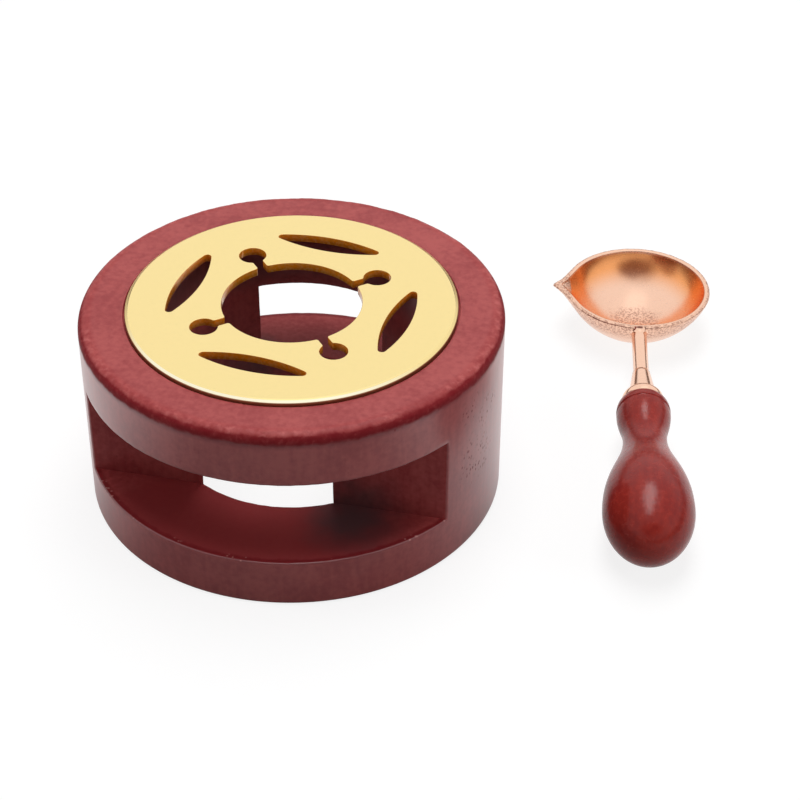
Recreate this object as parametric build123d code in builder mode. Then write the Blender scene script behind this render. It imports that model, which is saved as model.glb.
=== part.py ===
from build123d import *
import math
import os

# Wax-melting stove with a drop-in burner plate, and the pouring spoon that lies beside it.
#
# Millimetres, +Z up. The origin is the centre of the stove's foot, on the surface that it stands on,
# and the stove's two windows face -Y and +Y. The spoon lies on the same surface at the stove's +X side.

# ---- Stove body: one turned block, bored right through ----
body_radius = 40.0
body_height = 39.0
body_rim_round = 2.0
body_foot_round = 0.9
bore_radius = 24.0
bore_edge_break = 0.5

# ---- Windows: two opposite chord cuts that break into the bore and leave two pillars ----
window_sill = 10.0
window_height = 18.0
pillar_half_width = 20.5

# ---- Burner plate: lies loose on a ledge in the body ----
plate_radius = 31.2
plate_thickness = 1.6
plate_proud = 0.9
plate_side_gap = 0.3
plate_edge_round = 0.8
plate_turn = -5.0
cup_hole_radius = 13.2

# ---- Fretwork of the plate ----
slot_count = 4
keyhole_head_radius = 2.6
keyhole_circle_radius = 17.9
keyhole_neck_width = 1.9
keyhole_neck_round = 0.5
lens_length = 23.2
lens_width = 4.7
lens_end_round = 0.75
lens_circle_radius = 20.8

# ---- Spoon bowl: part of a ball, drawn out to a pouring lip ----
bowl_rim_radius = 15.6
bowl_foot_radius = 4.0
bowl_wall = 1.2
bowl_rim_break = 0.45
bowl_mouth_round = 0.3
lip_overhang = 2.0
beak_overhang = 0.65
beak_half_angle = 48.0
beak_nose_radius = 0.8
beak_throat_radius = 0.3
stem_below_rim = 2.0

# ---- Stem and ferrule ----
stem_radius = 1.6
stem_bare_length = 13.6
stem_tang_length = 22.0
glue_gap = 0.05
ferrule_cone_length = 7.4
ferrule_tip_wall = 0.2
ferrule_base_radius = 2.85
bead_length = 3.6
bead_crest_at = 1.9
bead_radius = 4.25
bead_face_radius = 3.9

# ---- Handle: turned wood, with lengths measured from the ferrule's face ----
handle_length = 44.8
handle_face_radius = 4.3
handle_head_at = 2.5
handle_head_radius = 5.4
handle_neck_at = 11.0
handle_neck_radius = 4.3
handle_bulb_at = 33.0
handle_bulb_radius = 8.7
groove_radius = 0.3

# ---- Where the spoon lies: the middle of its bowl, and the heading from the bowl to the handle ----
spoon_x = 59.0
spoon_y = 63.5
spoon_heading = -81.0


# ---- Derived sizes of the stove ----
recess_radius = plate_radius + plate_side_gap
ledge_height = body_height + plate_proud - plate_thickness
slot_pitch = 360 / slot_count

# ---- Derived sizes of the spoon, which lies level on its bowl and on the bulb of its handle ----
stem_height = handle_bulb_radius
bowl_height = stem_height + stem_below_rim
ball_height = (bowl_rim_radius**2 + bowl_height**2 - bowl_foot_radius**2) / (2 * bowl_height)
ball_radius = math.hypot(bowl_foot_radius, ball_height)
lip_reach = bowl_rim_radius + lip_overhang
lip_drop = ball_height - bowl_height
lip_span = math.hypot(lip_reach, lip_drop)
ferrule_start = bowl_rim_radius + stem_bare_length
ferrule_length = ferrule_cone_length + bead_length
handle_start = ferrule_start + ferrule_length
stem_length = handle_start + stem_tang_length
stem_bore_radius = stem_radius + glue_gap

# ---- Frames of the spoon ----
up = Vector(0, 0, 1)
to_handle = Vector(1, 0, 0).rotate(Axis.Z, spoon_heading)
to_lip = to_handle.rotate(Axis.Z, -90)
bowl_centre = Vector(spoon_x, spoon_y, 0)
ball_centre = bowl_centre + up * ball_height
stem_start = bowl_centre + up * stem_height
stem_axis = Axis(stem_start, to_handle)
lip_axis = Axis(ball_centre, to_lip * lip_reach - up * lip_drop)
lip_plane = Plane(ball_centre, x_dir=lip_axis.direction, z_dir=to_handle)


def stem_plane(distance):
    """The upright plane on the stem's axis, from this far along it. Its x is the way to the handle."""
    return Plane(stem_start + to_handle * distance, x_dir=to_handle, z_dir=to_handle.cross(up))


def circles_of(part, radius):
    """The round edges of a part that have this radius, lowest first."""
    round_edges = part.edges().filter_by(GeomType.CIRCLE)
    return round_edges.filter_by(lambda edge: math.isclose(edge.radius, radius)).sort_by(Axis.Z)


# ---- Stove body ----
with BuildPart() as stove_body:
    with BuildSketch(Plane.XZ):
        Rectangle(body_radius, body_height, align=Align.MIN)
        Rectangle(bore_radius, body_height, align=Align.MIN, mode=Mode.SUBTRACT)
        with Locations((0, ledge_height)):
            Rectangle(recess_radius, body_height, align=Align.MIN, mode=Mode.SUBTRACT)
    revolve(axis=Axis.Z)
    fillet(circles_of(stove_body, body_radius)[-1], body_rim_round)
    fillet(circles_of(stove_body, body_radius)[0], body_foot_round)
    chamfer(circles_of(stove_body, bore_radius)[0], bore_edge_break)
    with BuildSketch(Plane.XY.offset(window_sill)):
        with Locations((0, pillar_half_width)):
            Rectangle(2 * body_radius, body_radius, align=(Align.CENTER, Align.MIN))
        mirror(about=Plane.XZ)
    extrude(amount=window_height, mode=Mode.SUBTRACT)
stove_body.part.label = "stove_body"


# ---- Burner plate ----
with BuildSketch() as lens_slot:
    with BuildLine():
        ThreePointArc((0, -lens_length / 2), (lens_width / 2, 0), (0, lens_length / 2))
        ThreePointArc((0, lens_length / 2), (-lens_width / 2, 0), (0, -lens_length / 2))
    make_face()
    fillet(lens_slot.vertices(), lens_end_round)

with BuildSketch() as keyhole:
    Circle(cup_hole_radius)
    with Locations((keyhole_circle_radius, 0)):
        Circle(keyhole_head_radius)
        Rectangle(keyhole_circle_radius, keyhole_neck_width, align=(Align.MAX, Align.CENTER))
    neck_corners = keyhole.vertices().filter_by_position(Axis.X, 0, keyhole_circle_radius)
    fillet(neck_corners, keyhole_neck_round)

with BuildPart() as top_plate:
    with BuildSketch(Plane.XY.offset(ledge_height)):
        Circle(plate_radius)
        with PolarLocations(0, slot_count, start_angle=plate_turn + slot_pitch / 2):
            add(keyhole.sketch, mode=Mode.SUBTRACT)
        with PolarLocations(lens_circle_radius, slot_count, start_angle=plate_turn):
            add(lens_slot.sketch, mode=Mode.SUBTRACT)
    extrude(amount=plate_thickness)
    fillet(circles_of(top_plate, plate_radius)[-1], plate_edge_round)
top_plate.part.label = "top_plate"


# ---- Spoon bowl ----
def drawn_ball(inset, nose_radius):
    """A ball drawn out to a lip, as one outline in the lip plane, set in from the bowl's outer face.

    A cone leaves the ball along a tangent. Before its apex a steeper beak takes over and ends in a round
    nose. Revolved about the lip's axis, the outline is the whole drawn ball.
    """
    cone_angle = math.asin(ball_radius / lip_span)
    beak_angle = math.radians(beak_half_angle)
    radius = ball_radius - inset
    cone_apex = lip_span - inset / math.sin(cone_angle)
    nose_tip = lip_span + beak_overhang
    beak_apex = nose_tip + beak_nose_radius * (1 / math.sin(beak_angle) - 1) - inset / math.sin(beak_angle)
    nose_centre = beak_apex - nose_radius / math.sin(beak_angle)
    cone_slope, beak_slope = math.tan(cone_angle), math.tan(beak_angle)
    turn_at = (cone_apex * cone_slope - beak_apex * beak_slope) / (cone_slope - beak_slope)
    with BuildSketch(lip_plane) as outline:
        with BuildLine():
            ball = CenterArc((0, 0), radius, 90 - math.degrees(cone_angle), 90 + math.degrees(cone_angle))
            nose = CenterArc((nose_centre, 0), nose_radius, 0, 90 - beak_half_angle)
            Polyline(ball @ 0, (turn_at, (cone_apex - turn_at) * cone_slope), nose @ 1)
            Line(ball @ 1, nose @ 0)
        make_face()
    return outline.sketch


with BuildPart() as bowl_blank:
    add(drawn_ball(0, beak_nose_radius))
    revolve(axis=lip_axis)
    split(bisect_by=Plane.XY.offset(bowl_height), keep=Keep.BOTTOM)
    split(bisect_by=Plane.XY, keep=Keep.TOP)

with BuildPart() as spoon_bowl:
    add(bowl_blank.part)
    add(drawn_ball(bowl_wall, beak_throat_radius))
    revolve(axis=lip_axis, mode=Mode.SUBTRACT)
    rim_face = spoon_bowl.faces().sort_by(Axis.Z)[-1]
    chamfer(rim_face.outer_wire().edges(), bowl_rim_break)
    mouth = spoon_bowl.faces().sort_by(Axis.Z)[-1].inner_wires()
    fillet(mouth.edges(), bowl_mouth_round)
spoon_bowl.part.label = "spoon_bowl"


# ---- Spoon stem: a rod coped to the bowl, with its tang in the handle ----
with BuildPart() as spoon_stem:
    with BuildSketch(Plane(stem_start, x_dir=up, z_dir=to_handle)):
        Circle(stem_radius)
    extrude(amount=stem_length)
    add(bowl_blank.part, mode=Mode.SUBTRACT)
spoon_stem.part.label = "spoon_stem"


# ---- Spoon ferrule: a cone that ends in a bead against the handle ----
with BuildPart() as spoon_ferrule:
    with BuildSketch(stem_plane(ferrule_start)):
        with BuildLine():
            cone = Line((0, stem_bore_radius + ferrule_tip_wall), (ferrule_cone_length, ferrule_base_radius))
            crest = (ferrule_cone_length + bead_crest_at, bead_radius)
            bead = ThreePointArc(cone @ 1, crest, (ferrule_length, bead_face_radius))
            Polyline(bead @ 1, (ferrule_length, stem_bore_radius), (0, stem_bore_radius), cone @ 0)
        make_face()
    revolve(axis=stem_axis)
spoon_ferrule.part.label = "spoon_ferrule"


# ---- Spoon handle ----
with BuildPart() as spoon_handle:
    with BuildSketch(stem_plane(handle_start)):
        with BuildLine():
            head_height = handle_head_radius - handle_face_radius
            butt_length = handle_length - handle_bulb_at
            head = EllipticalCenterArc((handle_head_at, handle_face_radius), handle_head_at, head_height, 90)
            butt = EllipticalCenterArc((handle_bulb_at, 0), butt_length, handle_bulb_radius)
            Spline(head @ 0, (handle_neck_at, handle_neck_radius), butt @ 1, tangents=[(1, 0)] * 3)
            Polyline(
                head @ 1,
                (0, stem_bore_radius),
                (stem_tang_length + glue_gap, stem_bore_radius),
                (stem_tang_length + glue_gap, 0),
                butt @ 0,
            )
        make_face()
        with Locations((handle_head_at, handle_head_radius)):
            Circle(groove_radius, mode=Mode.SUBTRACT)
    revolve(axis=stem_axis)
spoon_handle.part.label = "spoon_handle"


# ---- One STEP file for each piece ----
os.makedirs("parts", exist_ok=True)
for piece in (stove_body, top_plate, spoon_bowl, spoon_stem, spoon_ferrule, spoon_handle):
    export_step(piece.part, f"parts/{piece.part.label}.step")
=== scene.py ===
"""The finished look of a wax-melting stove and the pouring spoon that lies beside it.

Everything is in metres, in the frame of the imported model: +Z up, the origin under the middle of the
stove's foot, the stove's windows facing -Y and +Y, and the spoon at its +X side. Each sub-assembly is a
class that holds its sizes and sews its own meshes, and each finish is a class that builds one material.
"""

from __future__ import annotations

import functools
import logging
import math
from dataclasses import dataclass, field, replace
from enum import Enum
from typing import Any, Callable, Iterable, Protocol, Sequence

import bmesh
import bpy
from mathutils import Matrix, Quaternion, Vector, noise


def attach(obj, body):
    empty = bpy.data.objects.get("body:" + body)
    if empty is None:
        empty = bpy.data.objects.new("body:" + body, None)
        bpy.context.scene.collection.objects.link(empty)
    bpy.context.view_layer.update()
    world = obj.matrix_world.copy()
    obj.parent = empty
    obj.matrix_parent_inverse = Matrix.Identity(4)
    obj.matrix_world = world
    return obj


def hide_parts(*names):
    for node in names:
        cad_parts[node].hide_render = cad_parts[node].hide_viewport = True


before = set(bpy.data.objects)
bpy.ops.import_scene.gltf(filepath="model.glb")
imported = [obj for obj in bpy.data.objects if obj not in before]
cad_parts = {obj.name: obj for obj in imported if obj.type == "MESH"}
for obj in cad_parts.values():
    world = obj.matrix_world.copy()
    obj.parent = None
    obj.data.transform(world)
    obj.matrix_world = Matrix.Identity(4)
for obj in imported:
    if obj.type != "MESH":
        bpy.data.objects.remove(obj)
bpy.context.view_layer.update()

MM = 0.001
HALF_TURN = math.pi
FULL_TURN = 2 * math.pi
SAME_POINT = 0.001 * MM
WELD_REACH = 0.002 * MM
SHARP_ANGLE = math.radians(40)
HALVINGS = 40
LOG = logging.getLogger("wax_stove")

Colour = tuple[float, float, float]
Place = tuple[float, float, float]
Cell = tuple[float, float, float]
Span = tuple[float, float]
Ring = list[Vector]
Row = list[bmesh.types.BMVert]


class Body(Enum):
    """The bodies of the model that move on their own."""

    STOVE = "stove"
    PLATE = "plate"
    SPOON = "spoon"


class Slot(Enum):
    """The record's material slots."""

    STOVE_WOOD = "stove_wood"
    HANDLE_WOOD = "handle_wood"
    PLATE_METAL = "plate_metal"
    SPOON_METAL = "spoon_metal"


class Gloss(Enum):
    """How smooth a finish is, as the shader's roughness."""

    SATIN = 0.4
    WAXED = 0.3
    LACQUER = 0.25
    BRUSHED = 0.26
    BRIGHT = 0.14


# ---- Shader maths -------------------------------------------------------------------------------------


class Signal:
    """A value on its way through a material, so that shader maths reads as Python."""

    def __init__(self, graph: Graph, socket: bpy.types.NodeSocket | None) -> None:
        """Wraps one output socket of a node, or none for a node that ends a tree."""
        self.graph = graph
        self.socket = socket

    def _maths(self, operation: str, first: Term, second: Term) -> Signal:
        """Adds one Math node."""
        return self.graph.node("ShaderNodeMath", {"operation": operation}, {0: first, 1: second})

    def __add__(self, other: Term) -> Signal:
        """Adds."""
        return self._maths("ADD", self, other)

    __radd__ = __add__

    def __mul__(self, other: Term) -> Signal:
        """Multiplies."""
        return self._maths("MULTIPLY", self, other)

    __rmul__ = __mul__

    def __sub__(self, other: Term) -> Signal:
        """Subtracts."""
        return self._maths("SUBTRACT", self, other)

    def __rsub__(self, other: Term) -> Signal:
        """Subtracts this value from another."""
        return self._maths("SUBTRACT", other, self)

    def __pow__(self, power: Term) -> Signal:
        """Raises to a power."""
        return self._maths("POWER", self, power)

    def either(self, other: Term) -> Signal:
        """The larger of two values."""
        return self._maths("MAXIMUM", self, other)

    def step(self, low: float, high: float) -> Signal:
        """A smooth step: 0 below the low value and 1 above the high one."""
        return self.graph.node(
            "ShaderNodeMapRange",
            {"interpolation_type": "SMOOTHSTEP"},
            {"Value": self, "From Min": low, "From Max": high},
        )

    def fall(self, low: float, high: float) -> Signal:
        """A smooth step down: 1 below the low value and 0 above the high one."""
        return 1.0 - self.step(low, high)


Term = Signal | float


class Graph:
    """The node tree of one material or of the world."""

    def __init__(self, tree: bpy.types.NodeTree) -> None:
        """Empties the tree, so that only the nodes added here are in it."""
        self.tree = tree
        self.tree.nodes.clear()

    def node(
        self,
        kind: str,
        settings: dict[str, Any] | None = None,
        inputs: dict[str | int, Any] | None = None,
        output: str | int = 0,
    ) -> Signal:
        """Adds a node.

        Args:
            kind: the node's type.
            settings: properties of the node, which are set before its sockets.
            inputs: a value or a signal for each named or numbered input socket.
            output: the output socket that the result stands for.

        Returns:
            The chosen output as a signal.
        """
        made = self.tree.nodes.new(kind)
        for name, value in (settings or {}).items():
            setattr(made, name, value)
        for name, value in (inputs or {}).items():
            if isinstance(value, Signal):
                self.tree.links.new(value.socket, made.inputs[name])
            else:
                made.inputs[name].default_value = value
        return Signal(self, made.outputs[output] if made.outputs else None)

    def blend(self, first: Colour | Signal, second: Colour | Signal, factor: Term) -> Signal:
        """Mixes two colours.

        Args:
            first: the colour where the factor is 0.
            second: the colour where the factor is 1.
            factor: how much of the second colour there is.

        Returns:
            The mixed colour.
        """
        colour_inputs = {0: factor, 6: self.solid(first), 7: self.solid(second)}
        return self.node("ShaderNodeMix", {"data_type": "RGBA"}, colour_inputs, 2)

    @staticmethod
    def solid(colour: Colour | Signal) -> Any:
        """A colour with the alpha that a socket wants, or the signal as it is."""
        return colour if isinstance(colour, Signal) else (*colour, 1.0)

    def place(self) -> Signal:
        """Where a shaded point lies in the frame of its piece."""
        return self.node("ShaderNodeTexCoord", output="Object")

    def laid(self, cell: Cell, heading: float = 0.0) -> Signal:
        """Coordinates for a texture that is laid on the piece.

        Args:
            cell: the size of one mark of the texture along its own X, Y and Z.
            heading: how far the texture is turned about Z, in radians.

        Returns:
            The coordinates, in cells.
        """
        turned = {"Vector": self.place(), "Rotation": (0.0, 0.0, heading), "Scale": cell}
        return self.node("ShaderNodeMapping", {"vector_type": "TEXTURE"}, turned)

    def noise(self, where: Signal, detail: float = 3.0) -> Signal:
        """Soft noise from 0 to 1 about the middle value of a half.

        Args:
            where: the coordinates, in cells, with one mark to a cell.
            detail: how many finer layers lie over the first one.

        Returns:
            The noise.
        """
        inputs = {"Vector": where, "Scale": 1.0, "Detail": detail}
        return self.node("ShaderNodeTexNoise", {}, inputs)

    def cloud(self, size: float, detail: float = 3.0) -> Signal:
        """Soft noise whose marks are as wide as the given size all ways."""
        return self.noise(self.laid((size,) * 3), detail)

    def wander(self, size: float, reach: float) -> Signal:
        """An offset that a border wanders by, up to half of the reach to either side."""
        return (self.cloud(size) - 0.5) * reach

    def specks(self, where: Signal, radius: float) -> Signal:
        """Small round marks.

        Args:
            where: the coordinates, in cells, with one mark to a cell.
            radius: the radius of a mark, as a share of a cell.

        Returns:
            1 in a mark and 0 around it.
        """
        inputs = {"Vector": where, "Scale": 1.0}
        distance = self.node("ShaderNodeTexVoronoi", {}, inputs, "Distance")
        return distance.fall(radius / 2, radius)

    def distance(self, point: Place) -> Signal:
        """How far a shaded point is from a given one."""
        ends = {0: self.place(), 1: point}
        return self.node("ShaderNodeVectorMath", {"operation": "DISTANCE"}, ends, "Value")

    def axes(self, vector: Signal | None = None) -> tuple[Signal, Signal, Signal]:
        """Takes a vector apart.

        Args:
            vector: the vector, or None for the place of the shaded point.

        Returns:
            Its X, Y and Z.
        """
        parts = self.node("ShaderNodeSeparateXYZ", {}, {0: vector or self.place()})
        x, y, z = parts.socket.node.outputs
        return Signal(self, x), Signal(self, y), Signal(self, z)

    def height(self) -> Signal:
        """How high a shaded point is."""
        return self.axes()[2]

    def off_axis(self) -> Signal:
        """How far a shaded point is from the Z axis."""
        x, y, _ = self.axes()
        return (x * x + y * y) ** 0.5

    def upright(self) -> Signal:
        """1 on a wall, and 0 on a face that looks up."""
        rise = self.axes(self.node("ShaderNodeNewGeometry", output="Normal"))[2]
        return rise.fall(0.3, 0.9)

    def bump(self, height: Signal, depth: float) -> Signal:
        """Small relief that is too fine to model.

        Args:
            height: the relief, where 1 is the highest.
            depth: how deep the relief is, in metres.

        Returns:
            The normal of the relief.
        """
        relief = {"Strength": 1.0, "Distance": depth, "Height": height}
        return self.node("ShaderNodeBump", {}, relief, "Normal")

    def surface(self, inputs: dict[str, Any]) -> None:
        """Ends a material with one Principled shader."""
        shader = self.node("ShaderNodeBsdfPrincipled", {}, inputs)
        self.node("ShaderNodeOutputMaterial", {}, {"Surface": shader})


def new_material(name: str) -> tuple[bpy.types.Material, Graph]:
    """Starts a material.

    Args:
        name: the material's name.

    Returns:
        The material, and the empty graph that fills it.
    """
    material = bpy.data.materials.new(name)
    material.use_nodes = True
    return material, Graph(material.node_tree)


# ---- Finishes -----------------------------------------------------------------------------------------


ROSE_GOLD: Colour = (0.95, 0.61, 0.45)
# Painted shade at the foot of punched walls.
FOOT_SHADE: Colour = (0.05, 0.02, 0.01)


class Finish(Protocol):
    """Anything that can dress a piece."""

    def material(self) -> bpy.types.Material:
        """Builds the finish's material."""


@dataclass(frozen=True)
class ShadedRim:
    """A turned rim that was sanded rough, with painted shade on its lower half and painted highlight specks
    on its upper half.

    Attributes:
        radius: how far out the rim starts to turn down.
        low: where the band of painted shade ends, near the wall.
        high: where it starts, near the top.
        dark: the colour of the band of painted shade.
        highlight_colour: the colour of the painted highlight specks over it.
        border: how soft the band's upper border is.
    """

    radius: float
    low: float
    high: float
    dark: Colour
    highlight_colour: Colour
    border: float = 0.25 * MM

    def height(self, graph: Graph) -> Signal:
        """The height of a shaded point, made uneven so that borders wander."""
        coarse, fine = graph.wander(4 * MM, 3 * self.border), graph.wander(0.8 * MM, 1.4 * self.border)
        return graph.height() + coarse + fine

    def masks(self, graph: Graph) -> tuple[Signal, Signal]:
        """Finds the band of painted shade and the painted highlight specks over it.

        Args:
            graph: the graph of the material.

        Returns:
            1 in the band of painted shade, and 1 in the painted highlight specks.
        """
        height = self.height(graph)
        out = graph.off_axis().step(self.radius, self.radius + 3 * self.border)
        over_low = height.step(self.low - 5 * self.border, self.low + self.border)
        over_high = height.step(self.high - self.border, self.high + self.border)
        # The band of painted shade is patchy, and specks of painted highlight lie over its top.
        painted_light = graph.cloud(1.0 * MM).step(0.3, 0.5)
        highlight_specks = graph.cloud(1.3 * MM, 4).step(0.42, 0.75)
        band = out * over_low * (1.0 - over_high) * (painted_light * 0.25 + 0.75)
        return band, out * over_high * highlight_specks


@dataclass(frozen=True)
class WaxPolish:
    """Wax that is worked into a turned wall until it shines, and wiped lightly over the top face.

    Attributes:
        radius: the radius of the wall.
        top: the height that the wax goes up to.
        fade: how far it takes to end there.
        refraction: the refractive index of the wax, which sets how strongly it mirrors.
        wiped: how much of it is on the top face.
    """

    radius: float
    top: float
    fade: float = 0.9 * MM
    refraction: float = 1.78
    wiped: float = 0.15

    def mask(self, graph: Graph) -> Signal:
        """Finds the polished places.

        Args:
            graph: the graph of the material.

        Returns:
            1 on the polished wall, less on the top face, and 0 elsewhere.
        """
        height, out = graph.height(), graph.off_axis()
        border = graph.wander(2.5 * MM, 1.4 * self.fade)
        under_rim = (height + border).fall(self.top, self.top + self.fade)
        wall = out.step(self.radius - 0.4 * MM, self.radius - 0.15 * MM) * under_rim
        level = height.step(self.top + 2 * MM, self.top + 2.4 * MM)
        inner = out.fall(self.radius - 3 * MM, self.radius - 1.8 * MM)
        return wall.either(level * inner * self.wiped)


@dataclass(frozen=True)
class Patches:
    """Soft places on a piece: where pores gather, and where shade is painted.

    Attributes:
        places: the middle of each and how far it reaches.
        colour: the colour painted in them.
        soft: how much of the reach is its border.
    """

    places: tuple[tuple[Place, float], ...]
    colour: Colour
    soft: float = 0.5

    def mask(self, graph: Graph) -> Signal:
        """Finds the patches, whose borders are soft and uneven.

        Args:
            graph: the graph of the material.

        Returns:
            1 in the patches and 0 away from them.
        """
        border = graph.wander(5 * MM, 6 * MM)
        patches = (
            (graph.distance(middle) + border).fall(reach * (1 - self.soft), reach)
            for middle, reach in self.places
        )
        return functools.reduce(Signal.either, patches)


@dataclass(frozen=True)
class CornerShade(Patches):
    """Painted shade in corners where the sill meets the bore, and on the wall of the bore over the windows.

    Attributes:
        bore: the radius of the bore.
        above: the height that its dark wall starts from.
        on_wall: how dark that wall is beside the places.
    """

    bore: float = 0.0
    above: float = 0.0
    on_wall: float = 0.65

    def mask(self, graph: Graph) -> Signal:
        """Finds the places of painted shade.

        Args:
            graph: the graph of the material.

        Returns:
            1 in them and 0 away from them.
        """
        wall = graph.off_axis().fall(self.bore + 0.1 * MM, self.bore + 0.4 * MM)
        over_windows = graph.height().step(self.above - 2 * MM, self.above + 4 * MM)
        return super().mask(graph).either(wall * over_windows * self.on_wall)


@dataclass(frozen=True)
class CutEdges:
    """The level edges where a wall is cut: painted shade along them, and chips that handling made.

    Attributes:
        radius: the radius of the wall.
        beyond: how far from the X axis the edges start.
        heights: the heights of the edges.
        stain: the colour of the painted shade along them.
        chip: the colour of the chips.
        reach: how far the painted shade goes from the edge along a level face.
        level: how far above and below the edge there is any.
    """

    radius: float
    beyond: float
    heights: tuple[float, ...]
    stain: Colour
    chip: Colour
    reach: float = 1.1 * MM
    level: float = 0.4 * MM

    def masks(self, graph: Graph) -> tuple[Signal, Signal]:
        """Finds the painted shade along the edges and the chips in it.

        Args:
            graph: the graph of the material.

        Returns:
            1 in the painted shade, and 1 in the chips.
        """
        _, y, z = graph.axes()
        inwards = self.radius - graph.off_axis() + graph.wander(1.5 * MM, self.reach)
        levels = (((z - edge) * (z - edge)).fall(0, self.level**2) for edge in self.heights)
        near = functools.reduce(Signal.either, levels)
        outside = (y * y).step(self.beyond**2, (self.beyond + 0.1 * MM) ** 2)
        stain = near * outside * inwards.fall(0.6 * self.reach, 1.4 * self.reach)
        few = graph.cloud(6 * MM).step(0.5, 0.62)
        return stain, stain * few * graph.specks(graph.laid((0.9 * MM,) * 3), radius=0.36)


@dataclass(frozen=True)
class StainedWood:
    """Close-grained hardwood under a red stain.

    Attributes:
        name: the material's name.
        thin: the colour where the stain lies thin.
        thick: the colour where it lies thick.
        pore: the colour of the open pores.
        gloss: how smooth the finish is.
        mark: the size of one mark of the grain along its own X, Y and Z.
        heading: how far the grain is turned about Z.
        relief: how deep the grain shows in the surface.
        shine: how strongly the surface mirrors, where 0.5 is plain varnish.
        clouds: the size of the slow changes in the stain.
        mottling: the size of the quick ones.
        pore_cell: the room that one pore has.
        rim: a rough rim with painted shade and painted highlight specks, if there is one.
        polish: a polished wall, if there is one.
        pitted: where open pores gather most.
        sill_shade: painted shade on the level faces of the front sill.
        corner_shade: painted shade in its inner corners and on the wall of its bore.
        edges: its cut edges, with painted shade along them, if there are any.
    """

    name: str
    thin: Colour
    thick: Colour
    pore: Colour
    gloss: Gloss
    mark: Cell
    heading: float = 0.0
    relief: float = 0.02 * MM
    shine: float = 0.5
    clouds: float = 11 * MM
    mottling: float = 1.1 * MM
    pore_cell: Cell = (0.72 * MM, 0.72 * MM, 1.0 * MM)
    rim: ShadedRim | None = None
    polish: WaxPolish | None = None
    pitted: Patches | None = None
    sill_shade: Patches | None = None
    corner_shade: CornerShade | None = None
    edges: CutEdges | None = None

    def material(self) -> bpy.types.Material:
        """Builds the wood: clouds of stain, fibres along the grain, open pores, a rough rim and wax, and
        the painted shade and painted highlights that are given for it.

        Returns:
            The material.
        """
        material, graph = new_material(self.name)
        cloud, mottle = graph.cloud(self.clouds, 2), graph.cloud(self.mottling, 4)
        fibre = graph.noise(graph.laid(self.mark, self.heading))
        cluster = graph.cloud(9 * MM).step(0.6, 0.75) * 0.6
        if self.pitted:
            cluster = cluster.either(self.pitted.mask(graph))
        some = graph.cloud(1.5 * MM, 1).step(0.42, 0.55)
        pits = graph.specks(graph.laid(self.pore_cell), radius=0.42)
        pores = pits * cluster * some
        tone = (cloud * 0.4 + mottle * 0.35 + fibre * 0.25).step(0.36, 0.64)
        colour = graph.blend(self.thick, self.thin, tone)
        colour = graph.blend(colour, self.pore, pores * 0.65)
        relief = mottle * 0.7 + fibre * 0.5 - pores
        roughness = self.gloss.value + (mottle - 0.5) * 0.25
        if self.rim:
            # Painted shade on the rim's lower half, and painted highlight specks over its top; both also
            # roughen it.
            band, highlight_specks = self.rim.masks(graph)
            roughness = roughness + (band + highlight_specks) * 0.2
            colour = graph.blend(colour, self.rim.dark, band * (1.1 - mottle * 0.4))
            colour = graph.blend(colour, self.rim.highlight_colour, highlight_specks * cloud.step(0.35, 0.6) * 0.5)
            relief = relief + highlight_specks + band * mottle
        if self.sill_shade:
            # Painted shade on the front sill's level faces, which the ring over them keeps from the light;
            # it is rougher there too.
            sill_shading = self.sill_shade.mask(graph) * (1.0 - graph.upright())
            roughness = roughness + sill_shading * 0.3
            colour = graph.blend(colour, self.sill_shade.colour, sill_shading * 0.85)
        if self.corner_shade:
            # Painted shade in the inner corners and on the bore's wall over the windows.
            colour = graph.blend(colour, self.corner_shade.colour, self.corner_shade.mask(graph) * 0.85)
        if self.edges:
            # Painted shade along the windows' cut edges, with light chips in it.
            stain, chips = self.edges.masks(graph)
            colour = graph.blend(colour, self.edges.stain, stain * 0.85)
            colour = graph.blend(colour, self.edges.chip, chips)
        coat = {}
        if self.polish:
            coat = {
                "Coat Weight": self.polish.mask(graph) * (1.0 - pores * 0.8),
                "Coat IOR": self.polish.refraction,
                "Coat Roughness": Gloss.WAXED.value,
            }
        graph.surface({
            "Base Color": colour,
            "Roughness": roughness,
            "Specular IOR Level": self.shine,
            "Normal": graph.bump(relief, self.relief),
            **coat,
        })
        return material


@dataclass(frozen=True)
class RoughPlaces:
    """Where formed sheet stayed rough under its plating: in the bottom, and in a band round the outside.

    Attributes:
        bottom: the middle of the bottom, inside.
        bottom_reach: how far the roughness is full, and where it ends.
        ball: the centre of the ball that the sheet was formed to.
        outside: how far the outer face is from that centre, at least.
        band: the heights between which the band grows to its full roughness.
        grain: the size of one grain.
        depth: how deep the grains are.
        colour: the colour between the grains.
    """

    bottom: Place
    bottom_reach: Span
    ball: Place
    outside: float
    band: Span
    grain: float
    depth: float
    colour: Colour

    def mask(self, graph: Graph) -> Signal:
        """Finds the rough places.

        Args:
            graph: the graph of the material.

        Returns:
            1 in them and 0 away from them.
        """
        border = graph.wander(2 * MM, 4 * MM)
        bottom = (graph.distance(self.bottom) + border).fall(*self.bottom_reach)
        outside = graph.distance(self.ball).step(self.outside - 0.1 * MM, self.outside)
        return bottom.either(outside * graph.height().step(*self.band))

    def within(self, graph: Graph) -> Signal:
        """1 on the inner face and 0 on the outer one."""
        return graph.distance(self.ball).fall(self.outside - 0.1 * MM, self.outside)


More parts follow.
